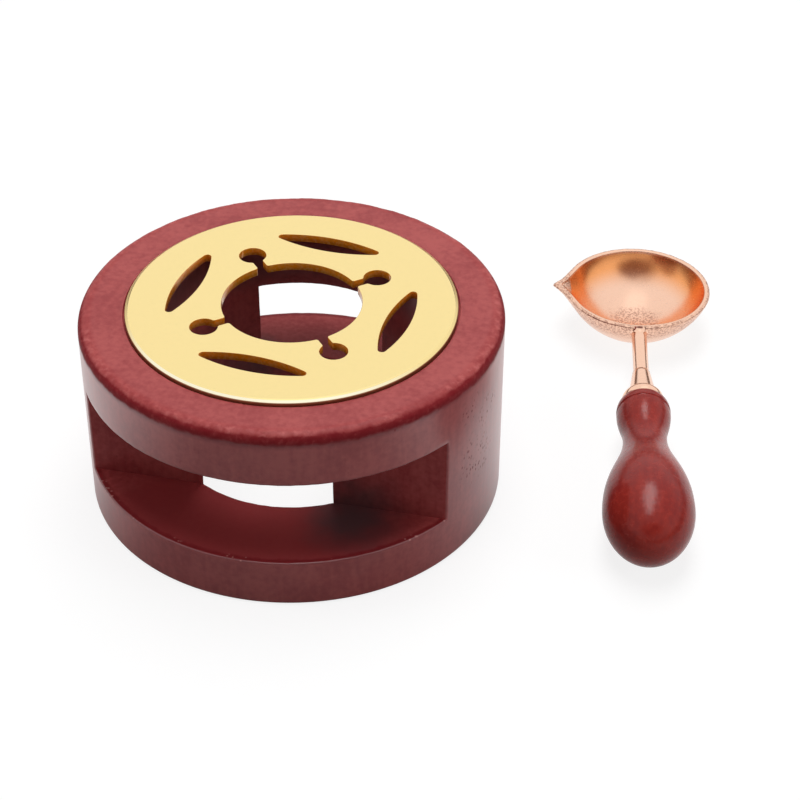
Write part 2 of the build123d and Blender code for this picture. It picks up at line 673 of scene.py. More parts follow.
@dataclass(frozen=True)
class Plating:
    """Bright plating over formed sheet or turned rod.

    Attributes:
        name: the material's name.
        colour: the plating's colour.
        gloss: how smooth the plated face is.
        ripple: how wide the slow waves are that forming leaves in the face.
        ripple_depth: how deep they are.
        rough: where the face stayed rough, if it did anywhere.
        haze: how unevenly it is polished.
        haze_size: the size of the polishing marks.
        edge: how far from the Z axis its outer wall starts, if there is one.
        outer_wall_shade: the colour of that wall, a painted shade of the narrow gap it faces.
        painted_light: the colour painted on the front of the slope that leads to it, as a highlight.
        highlight_from: how far along Y the painted highlight is full, and where it ends.
        sides: the colour of a bowl's steep inner sides, a painted reflection of the gold mirroring itself
            there, if it has them.
        sides_from: the heights between which the sides start, and where they end.
        cut: the colour of punched walls, where the plating is thin, deepened into a painted reflection of
            the gold between them, if there are any.
        cut_within: how far from the Z axis they reach.
        cut_from: the heights between which painted shade at their foot gives way to the walls' own colour.
    """

    name: str
    colour: Colour
    gloss: Gloss
    ripple: float = 4 * MM
    ripple_depth: float = 0.02 * MM
    rough: RoughPlaces | None = None
    haze: float = 0.08
    haze_size: float = 0.6 * MM
    edge: float | None = None
    outer_wall_shade: Colour = (0.3, 0.2, 0.1)
    painted_light: Colour = (1.0, 0.93, 0.7)
    highlight_from: Span = (-26 * MM, -12 * MM)
    sides: Colour | None = None
    sides_from: tuple[float, float, float] = (0.0, 0.0, 0.0)
    cut: Colour | None = None
    cut_within: float = 0.0
    cut_from: Span = (0.0, 1.0)

    def material(self) -> bpy.types.Material:
        """Builds the plating: slow ripples, a haze of polishing marks, thin walls and rough places, with
        painted highlight, shade and reflection where they are given.

        Returns:
            The material.
        """
        material, graph = new_material(self.name)
        ripple, haze = graph.cloud(self.ripple, 1), graph.cloud(self.haze_size)
        height, out = graph.height(), graph.off_axis()
        normal = graph.bump(ripple, self.ripple_depth)
        roughness = self.gloss.value + (haze - 0.5) * self.haze
        dull = tuple(0.98 * part for part in self.colour)
        colour = graph.blend(self.colour, dull, haze.step(0.4, 0.8))
        metallic: Term = 1.0
        if self.edge:
            # Painted highlight on the front of the rolled slope, and painted shade on the outer wall under
            # it.
            wall = out.step(self.edge, self.edge + 0.1 * MM)
            slope = out.step(self.edge - 0.5 * MM, self.edge - 0.3 * MM)
            front = graph.axes()[1].fall(*self.highlight_from)
            colour = graph.blend(colour, self.painted_light, slope * front)
            colour = graph.blend(colour, self.outer_wall_shade, wall)
            roughness = roughness + slope * 0.2 + wall * 0.2
        if self.cut:
            # Punched walls: orange of thin plating that is partly a painted reflection of the gold between
            # them, with painted shade at their foot.
            walls = graph.upright() * out.fall(self.cut_within, self.cut_within + MM)
            rise = height + (ripple - 0.5) * 0.6 * MM
            out_of_shade = rise.step(*self.cut_from) * 0.5 + 0.5
            metal = graph.blend(FOOT_SHADE, self.cut, out_of_shade)
            colour = graph.blend(colour, metal, walls * (haze.step(0.35, 0.6) * 0.15 + 0.85))
            metallic = 1.0 - walls * 0.85
        if self.rough and self.sides:
            # Painted reflection: orange on a bowl's steep inner sides, where the gold mirrors itself.
            low, full, end = self.sides_from
            steep = height.step(low, full) * height.fall(end - 0.4 * MM, end)
            colour = graph.blend(colour, self.sides, self.rough.within(graph) * steep)
        if self.rough:
            places = self.rough.mask(graph)
            grains = graph.cloud(self.rough.grain, 2)
            normal = graph.bump(grains * places + ripple * 0.2, self.rough.depth)
            roughness = roughness + places * 0.08
            between = places * grains.step(0.42, 0.62) * 0.8
            colour = graph.blend(colour, self.rough.colour, between)
        inputs = {"Base Color": colour, "Metallic": metallic, "Roughness": roughness}
        graph.surface({**inputs, "Normal": normal})
        return material


def bright_rose_gold(name: str) -> Plating:
    """The plating of a rod or a turned piece."""
    return Plating(name, ROSE_GOLD, Gloss.BRIGHT, ripple=3 * MM, ripple_depth=0.01 * MM)


# ---- Sewing meshes ------------------------------------------------------------------------------------


class Outline:
    """A line drawn in two dimensions, kept as points that are close enough to look round."""

    def __init__(self, x: float, y: float) -> None:
        """Starts the line at a point."""
        self.points = [Vector((x, y))]

    def line(self, x: float, y: float, step: float = math.inf) -> Outline:
        """Draws a straight stretch.

        Args:
            x: where it ends.
            y: how high it ends.
            step: how far apart its points are, at most.

        Returns:
            The outline.
        """
        start, end = self.points[-1], Vector((x, y))
        count = max(1, math.ceil((end - start).length / step))
        self.points += [start.lerp(end, i / count) for i in range(1, count + 1)]
        return self

    def arc(
        self, centre: Span, radii: float | Span, start: float, end: float, count: int = 8
    ) -> Outline:
        """Draws part of a circle or an ellipse, from where the outline is.

        Args:
            centre: the middle of the arc.
            radii: its radius, or its radius along X and along Y.
            start: the angle it starts at, in degrees.
            end: the angle it ends at, in degrees.
            count: how many pieces it is kept in.

        Returns:
            The outline.
        """
        across, up = radii if isinstance(radii, tuple) else (radii, radii)
        for i in range(count + 1):
            angle = math.radians(start + (end - start) * i / count)
            point = Vector((centre[0] + across * math.cos(angle), centre[1] + up * math.sin(angle)))
            if (point - self.points[-1]).length > SAME_POINT:
                self.points.append(point)
        return self

    def ease(self, x: float, y: float, leave: float, arrive: float, count: int = 24) -> Outline:
        """Draws a curve that is level where it starts and where it ends.

        Args:
            x: where it ends.
            y: how high it ends.
            leave: how far it keeps to its start's level, as a share of its length.
            arrive: how far it keeps to its end's level, as a share of its length.
            count: how many pieces it is kept in.

        Returns:
            The outline.
        """
        start = self.points[-1]
        length = x - start.x
        after, before = start + Vector((leave * length, 0)), Vector((x - arrive * length, y))
        corners = (start, after, before, Vector((x, y)))
        for i in range(1, count + 1):
            t = i / count
            shares = ((1 - t) ** 3, 3 * (1 - t) ** 2 * t, 3 * (1 - t) * t**2, t**3)
            self.points.append(sum((c * s for c, s in zip(corners, shares)), Vector((0, 0))))
        return self


class Workpiece:
    """A mesh that is sewn from grids of points and ends as one piece of the model."""

    def __init__(self, name: str) -> None:
        """Starts an empty mesh."""
        self.name = name
        self.mesh = bmesh.new()

    def sew(self, rows: Sequence[Ring], closed: bool = True) -> list[Row]:
        """Joins rows of points with four-sided faces.

        Args:
            rows: as many points in each, or a single point for a pole.
            closed: whether each row is a ring.

        Returns:
            The vertices of each row.
        """
        made = [[self.mesh.verts.new(point) for point in row] for row in rows]
        for low, high in zip(made, made[1:]):
            count = max(len(low), len(high))
            for k in range(count if closed else count - 1):
                under = [low[i % len(low)] for i in (k, k + 1)]
                over = [high[i % len(high)] for i in (k + 1, k)]
                self.mesh.faces.new(dict.fromkeys([*under, *over]))
        return made

    def weld(self) -> None:
        """Joins grids where they meet and turns every face outwards."""
        bmesh.ops.remove_doubles(self.mesh, verts=self.mesh.verts, dist=WELD_REACH)
        bmesh.ops.recalc_face_normals(self.mesh, faces=self.mesh.faces)

    def cap(self, loops: Iterable[Row]) -> None:
        """Closes a flat face that one loop bounds and the others pierce.

        Args:
            loops: the vertices of each loop, once round.
        """
        sides = [side for loop in loops for side in zip(loop, [*loop[1:], loop[0]])]
        edges = [self.mesh.edges.get(side) for side in sides]
        for edge in edges:
            edge.smooth = False
        bmesh.ops.triangle_fill(self.mesh, use_beauty=True, use_dissolve=False, edges=edges)

    def roughen(self, verts: Iterable[bmesh.types.BMVert], depth: Callable[[Vector], float]) -> None:
        """Moves points along their normals.

        Args:
            verts: the points to move.
            depth: how far the surface moves outwards at a place.
        """
        self.mesh.normal_update()
        moves = [(vert, vert.normal * depth(vert.co)) for vert in verts]
        for vert, move in moves:
            vert.co += move

    def complete(
        self,
        node: str,
        body: Body,
        finish: Finish,
        crisp: bool = False,
        to_frame: Matrix | None = None,
    ) -> bpy.types.Object:
        """Turns the mesh into an object that stands for its node and moves with its body.

        Args:
            node: the node whose place the piece takes.
            body: the body that it moves with.
            finish: what it is finished in.
            crisp: whether flat faces stay flat right up to their softened edges.
            to_frame: what brings the mesh into the model's frame, if it was sewn in its own.

        Returns:
            The finished object.
        """
        if to_frame:
            self.mesh.transform(to_frame)
        data = bpy.data.meshes.new(self.name)
        self.mesh.to_mesh(data)
        self.mesh.free()
        data.shade_smooth()
        data.set_sharp_from_angle(angle=SHARP_ANGLE)
        data.materials.append(finish.material())
        piece = put_in_scene(self.name, data)
        if crisp:
            piece.modifiers.new("flat_faces", "WEIGHTED_NORMAL").keep_sharp = True
        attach(piece, body.value)
        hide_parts(node)
        LOG.info("%s: %d faces, on body %s", self.name, len(data.polygons), body.value)
        return piece


def put_in_scene(name: str, data: bpy.types.ID) -> bpy.types.Object:
    """Makes an object and puts it in the scene.

    Args:
        name: the object's name.
        data: its mesh, light or camera.

    Returns:
        The object.
    """
    thing = bpy.data.objects.new(name, data)
    bpy.context.scene.collection.objects.link(thing)
    return thing


def uneven(point: Vector, size: float) -> float:
    """Noise from -1 to 1 that changes over about the given size."""
    return noise.noise(point / size)


def around(radius: float, height: float, angles: Iterable[float]) -> Ring:
    """The points of a level circle about Z at the given angles."""
    return [Vector((radius * math.cos(a), radius * math.sin(a), height)) for a in angles]


# ---- Stove --------------------------------------------------------------------------------------------


@dataclass
class StoveBody:
    """The turned block: bored right through, recessed for the plate and cut by two windows.

    Attributes:
        radius: the radius of its wall.
        height: how high it is.
        rim_round: the round of the wall's upper edge.
        foot_round: the round of its lower edge.
        bore: the radius of the bore.
        bore_break: how far the bore's lower edge is broken.
        recess: the radius of the recess that takes the plate.
        ledge: the height of the ledge that the plate lies on.
        recess_break: the small round on the edges of the recess and the ledge.
        sill: the height that the windows start at.
        head: the height that they end at.
        pillar: half the width of the pillars between them.
        edge_break: how far the windows' edges are softened.
        face_step: how far apart the rings of the mesh are.
        pillar_columns: how many columns of the mesh one pillar has.
        window_columns: how many one window has.
        rise_rows: how many rows of the mesh a window has from sill to head.
        depth_rows: how many it has from the bore to the wall.
        wear: how deep the edges are worn.
    """

    radius: float = 40 * MM
    height: float = 39 * MM
    rim_round: float = 2.0 * MM
    foot_round: float = 0.9 * MM
    bore: float = 24 * MM
    bore_break: float = 0.5 * MM
    recess: float = 31.5 * MM
    ledge: float = 38.3 * MM
    recess_break: float = 0.15 * MM
    sill: float = 10 * MM
    head: float = 28 * MM
    pillar: float = 20.5 * MM
    edge_break: float = 0.25 * MM
    face_step: float = 1.2 * MM
    pillar_columns: int = 144
    window_columns: int = 220
    rise_rows: int = 12
    depth_rows: int = 16
    wear: float = 0.1 * MM

    def finish(self) -> StainedWood:
        """Describes the block's stain, where it is waxed and pitted, and where shade and highlights are
        painted on it.

        Returns:
            The finish.
        """
        return StainedWood(
            name="red_stained_block",
            thin=(0.44, 0.083, 0.08),
            thick=(0.32, 0.043, 0.046),
            pore=(0.1, 0.01, 0.012),
            gloss=Gloss.SATIN,
            mark=(1.2 * MM, 1.2 * MM, 12 * MM),
            shine=0.12,
            # Painted shade on the rim's lower half, and painted highlight specks over its top.
            rim=ShadedRim(
                radius=self.radius - 2.4 * MM,
                low=self.height - 2.1 * MM,
                high=self.height - 0.5 * MM,
                dark=(0.2, 0.009, 0.014),
                highlight_colour=(0.66, 0.2, 0.19),
            ),
            polish=WaxPolish(self.radius, self.height - 2.5 * MM),
            pitted=Patches(
                places=(
                    ((38 * MM, -12.5 * MM, 19 * MM), 8 * MM),
                    ((39 * MM, -8.5 * MM, 28 * MM), 5 * MM),
                    ((37 * MM, -15 * MM, 32 * MM), 4 * MM),
                    ((-33 * MM, 22 * MM, 32 * MM), 5 * MM),
                ),
                colour=(0.07, 0.008, 0.01),
                soft=0.7,
            ),
            # Painted shade on the level faces of the front sill.
            sill_shade=Patches(
                places=(((0.0, -34 * MM, 8 * MM), 32 * MM),),
                colour=(0.3, 0.037, 0.04),
                soft=0.3,
            ),
            # Painted shade in the corners where the sill meets the bore, and on the bore's wall over the
            # windows.
            corner_shade=CornerShade(
                places=(((17 * MM, -24 * MM, 9 * MM), 13 * MM), ((-17 * MM, 22 * MM, 9 * MM), 10 * MM)),
                colour=(0.075, 0.055, 0.06),
                soft=0.9,
                bore=self.bore,
                above=self.head,
            ),
            # Painted shade along the windows' cut edges, with light chips in it.
            edges=CutEdges(
                radius=self.radius,
                beyond=self.pillar,
                heights=(self.sill, self.head),
                stain=(0.2, 0.012, 0.016),
                chip=(0.5, 0.17, 0.16),
            ),
        )

    def stations(self) -> list[tuple[float, float, bool]]:
        """The columns of the mesh, once round the block.

        The jambs of the windows aren't radial, so a column has one angle at the bore and another at the
        outer wall.

        Returns:
            For each column its angle at the bore, its angle at the outer wall, and whether a window opens
            between it and the next one.
        """
        at_bore, at_wall = math.asin(self.pillar / self.bore), math.asin(self.pillar / self.radius)
        columns = []
        for side in (0.0, HALF_TURN):
            for i in range(self.pillar_columns):
                share = 2 * i / self.pillar_columns - 1
                columns.append((side + share * at_bore, side + share * at_wall, False))
            for i in range(self.window_columns):
                share = i / self.window_columns
                inner, outer = (side + a + share * (HALF_TURN - 2 * a) for a in (at_bore, at_wall))
                columns.append((inner, outer, True))
        return columns

    def ring(self, radius: float, height: float) -> Ring:
        """A level circle of the block, with a point on each column.

        Args:
            radius: its radius.
            height: how high it is.

        Returns:
            The points.
        """
        share = (radius - self.bore) / (self.radius - self.bore)
        angles = [inner + share * (outer - inner) for inner, outer, _ in self.stations()]
        return around(radius, height, angles)

    def lower_outline(self) -> Outline:
        """Draws the section under the windows, from the outer wall round the foot to the bore.

        Returns:
            The outline.
        """
        foot = self.foot_round
        outline = Outline(self.radius, self.sill).line(self.radius, foot, self.face_step)
        outline.arc((self.radius - foot, foot), foot, 0, -90, 6)
        outline.line(self.bore + self.bore_break, 0, 2 * self.face_step)
        return outline.line(self.bore, self.bore_break).line(self.bore, self.sill, self.face_step)

    def upper_outline(self) -> Outline:
        """Draws the section over the windows, from the bore over the ledge and the rim to the outer wall.

        Returns:
            The outline.
        """
        soft, rim = self.recess_break, self.rim_round
        outline = Outline(self.bore, self.head).line(self.bore, self.ledge - soft, self.face_step)
        outline.arc((self.bore + soft, self.ledge - soft), soft, 180, 90, 3)
        outline.line(self.recess, self.ledge, 2 * self.face_step)
        outline.line(self.recess, self.height - soft)
        outline.arc((self.recess + soft, self.height - soft), soft, 180, 90, 3)
        outline.line(self.radius - rim, self.height, self.face_step / 2)
        outline.arc((self.radius - rim, self.height - rim), rim, 90, 0, 12)
        return outline.line(self.radius, self.head, self.face_step)

    def sew_windows(self, work: Workpiece) -> None:
        """Adds the pillars' walls, and the sill, head and jambs of both windows.

        Args:
            work: the block's mesh.
        """
        columns = self.stations()
        turns = [k for k in range(len(columns)) if columns[k][2] != columns[k - 1][2]]
        opening = self.head - self.sill
        rise = [self.sill + opening * i / self.rise_rows for i in range(self.rise_rows + 1)]
        depth = [i / self.depth_rows for i in range(self.depth_rows + 1)]
        inner = [self.ring(self.bore, z) for z in rise]
        outer = [self.ring(self.radius, z) for z in rise]
        for start, end in zip(turns, [*turns[1:], turns[0] + len(columns)]):
            span = [k % len(columns) for k in range(start, end + 1)]
            if columns[start][2]:
                for low, high in ((inner[0], outer[0]), (inner[-1], outer[-1])):
                    work.sew([[low[k].lerp(high[k], s) for k in span] for s in depth], closed=False)
            else:
                for wall in (inner, outer):
                    work.sew([[ring[k] for k in span] for ring in wall], closed=False)
            jamb = [[low[start].lerp(high[start], s) for s in depth] for low, high in zip(inner, outer)]
            work.sew(jamb, closed=False)

    def soften_windows(self, work: Workpiece) -> None:
        """Breaks the sharp edges of the windows by hand: a small round that wanders a little.

        Args:
            work: the block's mesh.
        """
        margin, sharp = 0.01 * MM, math.radians(30)
        edges = [
            edge
            for edge in work.mesh.edges
            if edge.is_manifold
            and edge.calc_face_angle_signed() > sharp
            and all(self.sill - margin < vert.co.z < self.head + margin for vert in edge.verts)
        ]
        broken = bmesh.ops.bevel(
            work.mesh,
            geom=edges,
            offset=self.edge_break,
            offset_type="OFFSET",
            segments=3,
            profile=0.5,
            affect="EDGES",
            clamp_overlap=True,
        )
        work.roughen(broken["verts"], lambda place: 0.5 * self.wear * uneven(place, 1.5 * MM))

    def rim_wear(self, place: Vector) -> float:
        """Wears the rim, as sanding did.

        Args:
            place: a place on the surface.

        Returns:
            How far the surface stands out there, or in where it is negative.
        """
        across = math.hypot(place.x, place.y) - (self.radius - self.rim_round / 2)
        up = place.z - (self.height - self.rim_round / 2)
        near = math.exp(-(math.hypot(across, up) / self.rim_round) ** 2)
        waves = uneven(place, 4 * MM) + 0.6 * uneven(place, 1.4 * MM) + 0.35 * uneven(place, 0.7 * MM)
        return self.wear * near * (waves - 0.3)

    def build(self) -> bpy.types.Object:
        """Sews, softens and finishes the block.

        Returns:
            The finished piece.
        """
        work = Workpiece("turned_block")
        for outline in (self.lower_outline(), self.upper_outline()):
            work.sew([self.ring(point.x, point.y) for point in outline.points])
        self.sew_windows(work)
        work.weld()
        self.soften_windows(work)
        work.roughen([vert for vert in work.mesh.verts if vert.co.z > self.ledge], self.rim_wear)
        return work.complete("stove_body", Body.STOVE, self.finish(), crisp=True)


@dataclass
class BurnerPlate:
    """The fretted plate that lies on the ledge: a centre hole with four keyholes, and four lens slots.

    Attributes:
        radius: the plate's radius.
        top: the height of its upper face.
        thickness: how thick it is.
        slope: how steep its outer edge is, from upright.
        slope_length: how long that slope is.
        slope_rounds: the rounds under the slope and over it.
        slot_round: the small round on the upper edges of the slots.
        turn: how far the fretwork is turned about Z.
        count: how many keyholes there are, and how many lens slots.
        cup_hole: the radius of the centre hole.
        keyhole_head: the radius of a keyhole's head.
        keyhole_circle: how far from the middle the heads are.
        neck_half_width: half the width of a keyhole's neck.
        neck_round: the round at each corner of the neck.
        lens_half_length: half the length of a lens slot.
        lens_half_width: half its width.
        lens_round: the round at its ends.
        lens_circle: how far from the middle the lens slots are.
        burr: how deep the punch nicked the keyholes.
    """

    radius: float = 31.2 * MM
    top: float = 39.9 * MM
    thickness: float = 1.6 * MM
    slope: float = math.radians(58)
    slope_length: float = 0.65 * MM
    slope_rounds: Span = (0.2 * MM, 0.4 * MM)
    slot_round: float = 0.12 * MM
    turn: float = math.radians(-5)
    count: int = 4
    cup_hole: float = 13.2 * MM
    keyhole_head: float = 2.6 * MM
    keyhole_circle: float = 17.9 * MM
    neck_half_width: float = 0.95 * MM
    neck_round: float = 0.5 * MM
    lens_half_length: float = 11.6 * MM
    lens_half_width: float = 2.35 * MM
    lens_round: float = 0.75 * MM
    lens_circle: float = 20.8 * MM
    burr: float = 0.09 * MM

    def finish(self) -> Plating:
        """Describes the plate's plating, which is thin on the punched walls, with painted highlight and
        shade at its edge and painted shade and reflection on those walls.

        Returns:
            The finish.
        """
        return Plating(
            name="gold_plated_sheet",
            colour=(0.97, 0.77, 0.35),
            gloss=Gloss.BRIGHT,
            ripple=9 * MM,
            ripple_depth=0.004 * MM,
            haze=0.04,
            # Painted highlight on the front of the edge's slope, and painted shade on its outer wall.
            edge=self.radius - 0.15 * MM,
            outer_wall_shade=(0.42, 0.21, 0.11),
            # Punched walls: orange that is partly a painted reflection, with painted shade at their foot.
            cut=(1.0, 0.34, 0.01),
            cut_within=self.radius - 2.2 * MM,
            cut_from=(self.top - 1.5 * MM, self.top - 0.5 * MM),
        )

    def keyhole(self) -> Ring:
        """Draws one quarter of the centre hole, from halfway before its keyhole to halfway after it.

        Returns:
            Its points, counter-clockwise, with the keyhole along X.
        """
        head, hole, small = self.keyhole_head, self.cup_hole, self.neck_round
        side = self.neck_half_width + small
        foot_x = math.sqrt((hole + small) ** 2 - side**2)
        head_reach = math.sqrt((head + small) ** 2 - side**2)
        head_x = self.keyhole_circle - head_reach
        foot_angle = math.degrees(math.asin(side / (hole + small)))
        head_angle = math.degrees(math.acos(-head_reach / (head + small)))
        half = 180 / self.count
        start = Vector((hole, 0))
        start.rotate(Matrix.Rotation(math.radians(-half), 2))
        outline = Outline(start.x, start.y)
        outline.arc((0, 0), hole, -half, -foot_angle, 32)
        outline.arc((foot_x, -side), small, 180 - foot_angle, 90)
        outline.arc((head_x, -side), small, 90, 180 - head_angle)
        outline.arc((self.keyhole_circle, 0), head, -head_angle, head_angle, 60)
        outline.arc((head_x, side), small, head_angle - 180, -90)
        outline.arc((foot_x, side), small, 270, 180 + foot_angle)
        return outline.arc((0, 0), hole, foot_angle, half, 32).points[:-1]

    def lens(self) -> Ring:
        """Draws one slot, between two arcs, with round ends.

        Returns:
            Its points, counter-clockwise, with its long way along Y.
        """
        half, small = self.lens_half_width, self.lens_round
        bend = (self.lens_half_length**2 + half**2) / (2 * half)
        side = bend - half
        tip_y = math.sqrt((bend - small) ** 2 - side**2)
        turn = math.atan2(tip_y, side)
        reach = math.degrees(turn)
        outline = Outline(bend * math.cos(turn) - side, -bend * math.sin(turn))
        outline.arc((-side, 0), bend, -reach, reach, 56)
        outline.arc((0, tip_y), small, reach, 180 - reach, 10)
        outline.arc((side, 0), bend, 180 - reach, 180 + reach, 56)
        return outline.arc((0, -tip_y), small, 180 + reach, 360 - reach, 10).points[:-1]

    def contours(self) -> list[Ring]:
        """Lays out the fretwork.

        Returns:
            The centre hole and then the slots, each once round, counter-clockwise.
        """
        pitch, outwards = FULL_TURN / self.count, Vector((self.lens_circle, 0))
        centre_hole: Ring = []
        slots = []
        for i in range(self.count):
            to_keyhole = Matrix.Rotation(self.turn + (i + 0.5) * pitch, 2)
            to_slot = Matrix.Rotation(self.turn + i * pitch, 2)
            centre_hole += [to_keyhole @ point for point in self.keyhole()]
            slots.append([to_slot @ (point + outwards) for point in self.lens()])
        return [centre_hole, *slots]

    def punched_edge(self) -> Outline:
        """Draws the section of a punched wall, from the bottom face to a small round at the top.

        Returns:
            The section, as how far it stands out and its height.
        """
        soft = self.slot_round
        outline = Outline(0, self.top - self.thickness).line(0, self.top - soft, 0.4 * MM)
        return outline.arc((-soft, self.top - soft), soft, 0, 90, 4)

    def rolled_edge(self) -> Outline:
        """Draws the section of the outer wall, whose top is rolled over in a slope between two rounds.

        Returns:
            The section, as how far it stands out and its height.
        """
        low, high = self.slope_rounds
        along, up = math.cos(self.slope), math.sin(self.slope)
        foot = self.top - high * (1 - up) - self.slope_length * along - low * up
        outline = Outline(0, self.top - self.thickness).line(0, foot, 0.3 * MM)
        turned = math.degrees(self.slope)
        outline.arc((-low, foot), low, 0, turned, 5)
        end = outline.points[-1] + Vector((-up, along)) * self.slope_length
        outline.line(end.x, end.y, 0.15 * MM)
        return outline.arc((end.x - high * along, end.y - high * up), high, turned, 90, 5)

    @staticmethod
    def wall(work: Workpiece, contour: Ring, section: Outline, outwards: float) -> list[Row]:
        """Sews the wall of one contour.

        Args:
            work: the mesh that it goes into.
            contour: the contour, counter-clockwise.
            section: the wall's section, upwards, as how far it stands out and its height.
            outwards: 1 if the metal lies inside the contour, and -1 if it lies outside.

        Returns:
            The wall's rows of vertices, from the bottom face to the top face.
        """
        count = len(contour)
        normals = []
        for k in range(count):
            along = contour[(k + 1) % count] - contour[k - 1]
            normals.append(Vector((along.y, -along.x)).normalized() * outwards)
        rows = []
        for step in section.points:
            up = Vector((0, 0, step.y))
            rows.append([(point + normal * step.x).to_3d() + up for point, normal in zip(contour, normals)])
        return work.sew(rows)

    def burrs(self, place: Vector) -> float:
        """Nicks the walls of the keyholes, as the punch did.

        Args:
            place: a place on the surface.

        Returns:
            How far the surface stands out there, or in where it is negative.
        """
        if math.hypot(place.x, place.y) < self.cup_hole + self.neck_round:
            return 0.0
        return self.burr * max(0.0, uneven(place, 2.2 * MM)) * uneven(place, 0.6 * MM)

    def build(self) -> bpy.types.Object:
        """Sews and finishes the plate.

        Returns:
            The finished piece.
        """
        work = Workpiece("fretted_plate")
        rim = Outline(self.radius, 0).arc((0, 0), self.radius, 0, 360, 360).points[:-1]
        walls = [self.wall(work, rim, self.rolled_edge(), 1)]
        walls += [self.wall(work, hole, self.punched_edge(), -1) for hole in self.contours()]
        for end in (0, -1):
            work.cap([rows[end] for rows in walls])
        work.weld()
        work.roughen([vert for row in walls[1][1:-1] for vert in row], self.burrs)
        return work.complete("top_plate", Body.PLATE, self.finish(), crisp=True)


# ---- Spoon --------------------------------------------------------------------------------------------


@dataclass
class SpoonBowl:
    """The formed bowl: part of a ball, drawn out to a pouring lip.

    It is worked out in the spoon's frame: the bowl's middle on the surface, X to the handle, Z up, and
    the lip towards -Y.

    Attributes:
        rim: the radius of the rim.
        foot: the radius of the flat that it stands on.
        height: how high the rim is.
        wall: how thick the sheet is.
        lip_overhang: how far the lip is drawn out past the rim.
        beak_overhang: how far the beak reaches past the lip.
        beak_angle: half the angle of the beak's point.
        beak_nose: the round of its point outside.
        beak_throat: the round of its point inside.
        rim_break: the round of the rim's outer edge.
        mouth_round: the round of its inner edge.
        crease: how close two faces come before a round joins them.
        columns: how many columns of the mesh go round it.
        rows: how many rows one face has, from the bottom to the rim.
        dents: how deep the dents are.
    """

    rim: float = 15.6 * MM
    foot: float = 4 * MM
    height: float = 10.7 * MM
    wall: float = 1.2 * MM
    lip_overhang: float = 2.0 * MM
    beak_overhang: float = 0.65 * MM
    beak_angle: float = math.radians(48)
    beak_nose: float = 0.8 * MM
    beak_throat: float = 0.3 * MM
    rim_break: float = 0.45 * MM
    mouth_round: float = 0.3 * MM
    crease: float = 0.5 * MM
    columns: int = 480
    rows: int = 56
    dents: float = 0.05 * MM

    def __post_init__(self) -> None:
        """Works out the ball, the lip's axis and the cones that draw the ball out to it."""
        self.ball_height = (self.rim**2 + self.height**2 - self.foot**2) / (2 * self.height)
        self.ball = math.hypot(self.foot, self.ball_height)
        self.reach = self.rim + self.lip_overhang
        self.drop = self.ball_height - self.height
        self.span = math.hypot(self.reach, self.drop)
        self.lip_axis = Vector((0, -self.reach, -self.drop)) / self.span
        self.cone_angle = math.asin(self.ball / self.span)
        nose_centre = self.span + self.beak_overhang - self.beak_nose
        self.beak_line = nose_centre * math.sin(self.beak_angle) + self.beak_nose

    def shell(self, way: Vector, inset: float, nose: float) -> float:
        """How far the bowl's face is from the ball's centre, in one direction.

        Args:
            way: the direction.
            inset: how far the face is set in from the outer one.
            nose: the radius of the beak's tip.

        Returns:
            The distance.
        """
        off_axis = way.angle(self.lip_axis)
        body = self.ball - inset
        if off_axis > HALF_TURN / 2 - self.cone_angle:
            return body
        body /= math.sin(off_axis + self.cone_angle)
        line = self.beak_line - inset
        beak = line / math.sin(off_axis + self.beak_angle)
        across, along = math.cos(self.beak_angle), math.sin(self.beak_angle)
        middle = (line - nose) / along
        if off_axis < math.atan2(nose * across, middle + nose * along):
            beak = middle * math.cos(off_axis) + math.sqrt(nose**2 - (middle * math.sin(off_axis)) ** 2)
        near = max(self.crease - abs(body - beak), 0.0) / self.crease
        return max(body, beak) + near**2 * self.crease / 4

    def edge_radius(self, way: Vector, height: float, inset: float, nose: float) -> float:
        """How far out a face is at one height, in a level direction, found by halving.

        Args:
            way: the level direction.
            height: the height.
            inset: how far the face is set in from the outer one.
            nose: the radius of the beak's tip.

        Returns:
            The distance from the bowl's axis.
        """
        low, high = 0.5 * self.rim, 1.5 * self.rim
        for _ in range(HALVINGS):
            middle = (low + high) / 2
            place = way * middle + Vector((0, 0, height - self.ball_height))
            within = place.length < self.shell(place, inset, nose)
            low, high = (middle, high) if within else (low, middle)
        return low

    def meridian(self, way: Vector) -> Ring:
        """Draws one section of the bowl, from under its foot, over the rim, to the bottom inside.

        Args:
            way: the level direction of the section.

        Returns:
            The points.
        """
        outer_top, inner_top = self.height - self.rim_break, self.height - self.mouth_round
        outer = self.edge_radius(way, outer_top, 0, self.beak_nose)
        inner = self.edge_radius(way, inner_top, self.wall, self.beak_throat)
        rim = Outline(outer, outer_top)
        rim.arc((outer - self.rim_break, outer_top), self.rim_break, 0, 90, 5)
        rim.line(inner + self.mouth_round, self.height)
        rim.arc((inner + self.mouth_round, inner_top), self.mouth_round, 90, 180, 4)
        over = [way * point.x + Vector((0, 0, point.y)) for point in rim.points]
        outside = self.face(way, outer, outer_top, 0, self.beak_nose)
        inside = self.face(way, inner, inner_top, self.wall, self.beak_throat)
        return [*outside, *over[1:-1], *reversed(inside)]

    def face(self, way: Vector, radius: float, top: float, inset: float, nose: float) -> Ring:
        """The points of one face of a section, from the bottom up to where the rim starts.

        Args:
            way: the level direction of the section.
            radius: how far out the face ends.
            top: how high it ends.
            inset: how far the face is set in from the outer one.
            nose: the radius of the beak's tip.

        Returns:
            The points.
        """
        full = math.atan2(radius, self.ball_height - top)
        points = []
        for i in range(1, self.rows + 1):
            angle = full * (i / self.rows) ** 0.9
            towards = way * math.sin(angle) + Vector((0, 0, -math.cos(angle)))
            far = self.shell(towards, inset, nose)
            if inset == 0:
                far = min(far, self.ball_height / max(math.cos(angle), 0.1))
            points.append(towards * far + Vector((0, 0, self.ball_height)))
        return points

